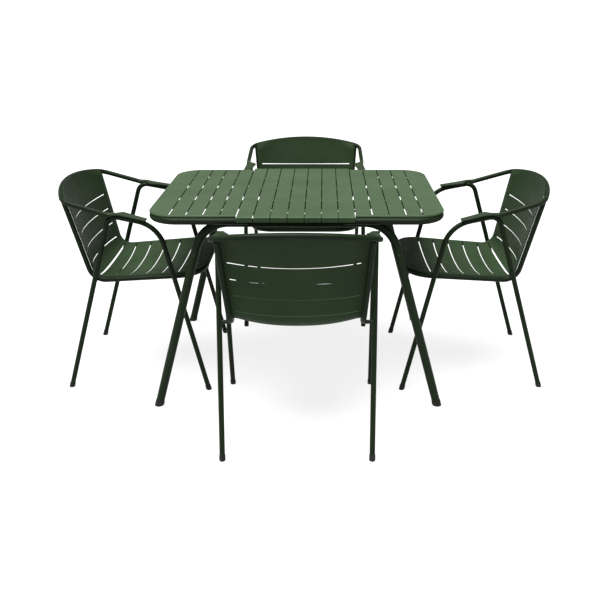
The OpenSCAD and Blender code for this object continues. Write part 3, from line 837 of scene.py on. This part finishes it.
# Armrest sections along u, in millimetres: where, its inner and outer edge, half its thickness,
# and how far it dips towards the rail.
ARM_SECTIONS = [
    (-68, -0.5, 18.5, 9.4, 10.0), (-60, -0.8, 18.2, 9.0, 9.3), (-52, -1.5, 17.6, 8.0, 7.6),
    (-44, -2.4, 16.8, 6.4, 5.2), (-37, -3.2, 16.0, 5.1, 2.8), (-30, -4.6, 15.2, 4.4, 1.2),
    (-24, -9.5, 14.5, 4.1, 0.4), (-18, -19.5, 13.5, 4.0, 0.0), (-13, -28.0, 12.8, 4.0, 0.0),
    (-8, -32.6, 12.2, 4.0, 0.0), (-2, -33.2, 12.0, 4.0, 0.0), (6, -30.4, 12.4, 4.0, 0.0),
    (22, -25.4, 13.6, 4.0, 0.0), (40, -20.8, 15.0, 4.0, 0.0), (58, -17.0, 16.6, 4.0, 0.0),
    (74, -14.2, 17.8, 4.0, 0.0), (81.5, -13.0, 18.2, 4.0, 0.0), (84.2, -12.4, 17.8, 3.7, 0.0),
    (85, -11.0, 16.4, 2.8, 0.0)
]
ARM_SIDES = 28
# Half the thickness of its flat part, and how much more the round end has, in millimetres.
ARM_FLAT = 4.0
ARM_ROUND = 5.5
# The height of the side frame's tube at u = 0, and how deep the armrest sinks into the tube.
FRAME_LEVEL = 709 * MM
ARM_SINK = 0.8 * MM
ARM_LEVEL = FRAME_LEVEL + (TUBE_R - ARM_SINK + ARM_FLAT * MM) * math.sqrt(1 + ARM_FALL ** 2)


def make_arm(chair, side_name, side):
    """A flat paddle that grows out of the end of the round top rail."""
    points, faces = [], []
    tilt = ARM_FALL / math.sqrt(1 + ARM_FALL ** 2)
    for u, inner, outer, half, dip in ARM_SECTIONS:
        centre_v = (inner + outer) / 2
        half_v = (outer - inner) / 2
        # A round section where it meets the rail, then a flat one with rounded edges.
        roundness = min(1.0, max(0.0, (half - ARM_FLAT) / ARM_ROUND))
        power = 2.0 / (2.0 + (1 - roundness) * 3.2)
        for a in angles(ARM_SIDES):
            c, s = math.cos(a), math.sin(a)
            v = centre_v + half_v * math.copysign(abs(c) ** power, c)
            w = half * math.copysign(abs(s) ** power, s)
            at_u = u * MM + w * MM * tilt
            at_w = ARM_LEVEL - (ARM_FALL * u + dip) * MM + w * MM * math.sqrt(1 - tilt ** 2)
            points.append(chair.at(at_u, side * (frame_v(at_u) + v * MM), at_w))
    count = len(ARM_SECTIONS)
    for i in range(count - 1):
        for j in range(ARM_SIDES):
            a, b = i * ARM_SIDES + j, i * ARM_SIDES + (j + 1) % ARM_SIDES
            faces.append((a, b, b + ARM_SIDES, a + ARM_SIDES))
    faces.append(tuple(range(ARM_SIDES)))
    faces.append(tuple(range((count - 1) * ARM_SIDES, count * ARM_SIDES)))
    name = f"{chair.body}_{side_name}_armrest"
    mesh = mesh_from(name, points, faces)
    piece = add_piece(name, mesh, chair.body, "green_armrest", [f"{chair.body}_{side_name}_arm"])
    smooth = piece.modifiers.new("round", "SUBSURF")
    smooth.levels = smooth.render_levels = 1


# ------------------------------------------------------------------ studio

# The floor lies just under the feet and reaches to the horizon.
FLOOR_SIZE = 2000
FLOOR_LEVEL = -0.5 * MM
FLOOR_GLOW = 0.8
SKY_GLOW = 0.4
CAMERA_PLACE = (0.075, -3.114, 1.490)
# How far the camera looks down, in degrees, and how far its picture is shifted sideways.
CAMERA_DIP = 21.70
CAMERA_SHIFT = -0.0397
CAMERA_LENS = 46.32


def make_floor():
    bpy.ops.mesh.primitive_plane_add(size=FLOOR_SIZE, location=(0, 0, FLOOR_LEVEL))
    floor = bpy.context.object
    floor.name = "floor"
    shader = Shader("pale_floor")
    shade = shader.spread(shader.noise(0.6, 2.0), 0.3, 0.7)
    shader.join(shader.blend(shade, (0.17, 0.17, 0.17, 1), (0.18, 0.18, 0.18, 1)),
                shader.principled.inputs["Base Color"])
    shader.principled.inputs["Roughness"].default_value = 0.7
    shader.principled.inputs["Specular IOR Level"].default_value = 0.2
    # The floor is a glowing light table, so that shadows on it stay faint.
    shader.principled.inputs["Emission Color"].default_value = (1, 1, 1, 1)
    shader.principled.inputs["Emission Strength"].default_value = FLOOR_GLOW
    floor.data.materials.append(shader.material)


def add_sky_light(name, lean, spread, strength):
    """A broad even light. lean is how far to the right and to the back it stands, in degrees."""
    light = bpy.data.lights.new(name, "SUN")
    light.angle = math.radians(spread)
    light.energy = strength
    lamp = bpy.data.objects.new(name, light)
    lamp.location = (0, 0, 4)
    lamp.rotation_euler = (math.radians(-lean[1]), math.radians(lean[0]), 0)
    bpy.context.scene.collection.objects.link(lamp)


def make_studio():
    make_floor()
    world = bpy.data.worlds.new("studio")
    world.use_nodes = True
    background = world.node_tree.nodes["Background"]
    background.inputs["Color"].default_value = (1, 1, 1, 1)
    background.inputs["Strength"].default_value = SKY_GLOW
    scene = bpy.context.scene
    scene.world = world
    scene.view_settings.view_transform = "Standard"
    add_sky_light("overhead", (-8, -8), 50, 9.0)
    camera = bpy.data.cameras.new("camera")
    camera.lens = CAMERA_LENS
    camera.sensor_width = 36
    camera.shift_x = CAMERA_SHIFT
    viewer = bpy.data.objects.new("camera", camera)
    viewer.location = CAMERA_PLACE
    viewer.rotation_euler = (math.radians(90 - CAMERA_DIP), 0, 0)
    scene.collection.objects.link(viewer)
    scene.camera = viewer


# ------------------------------------------------------------------ the scene

finish_nodes()
make_centre_panel()
make_end_panel("left_panel", -1)
make_end_panel("right_panel", 1)
make_screws()
make_table_feet()
for chair_name, facing in CHAIRS.items():
    chair = Chair(chair_name, facing)
    make_shell(chair)
    make_arm(chair, "left", 1)
    make_arm(chair, "right", -1)
    make_chair_feet(chair)
make_studio()
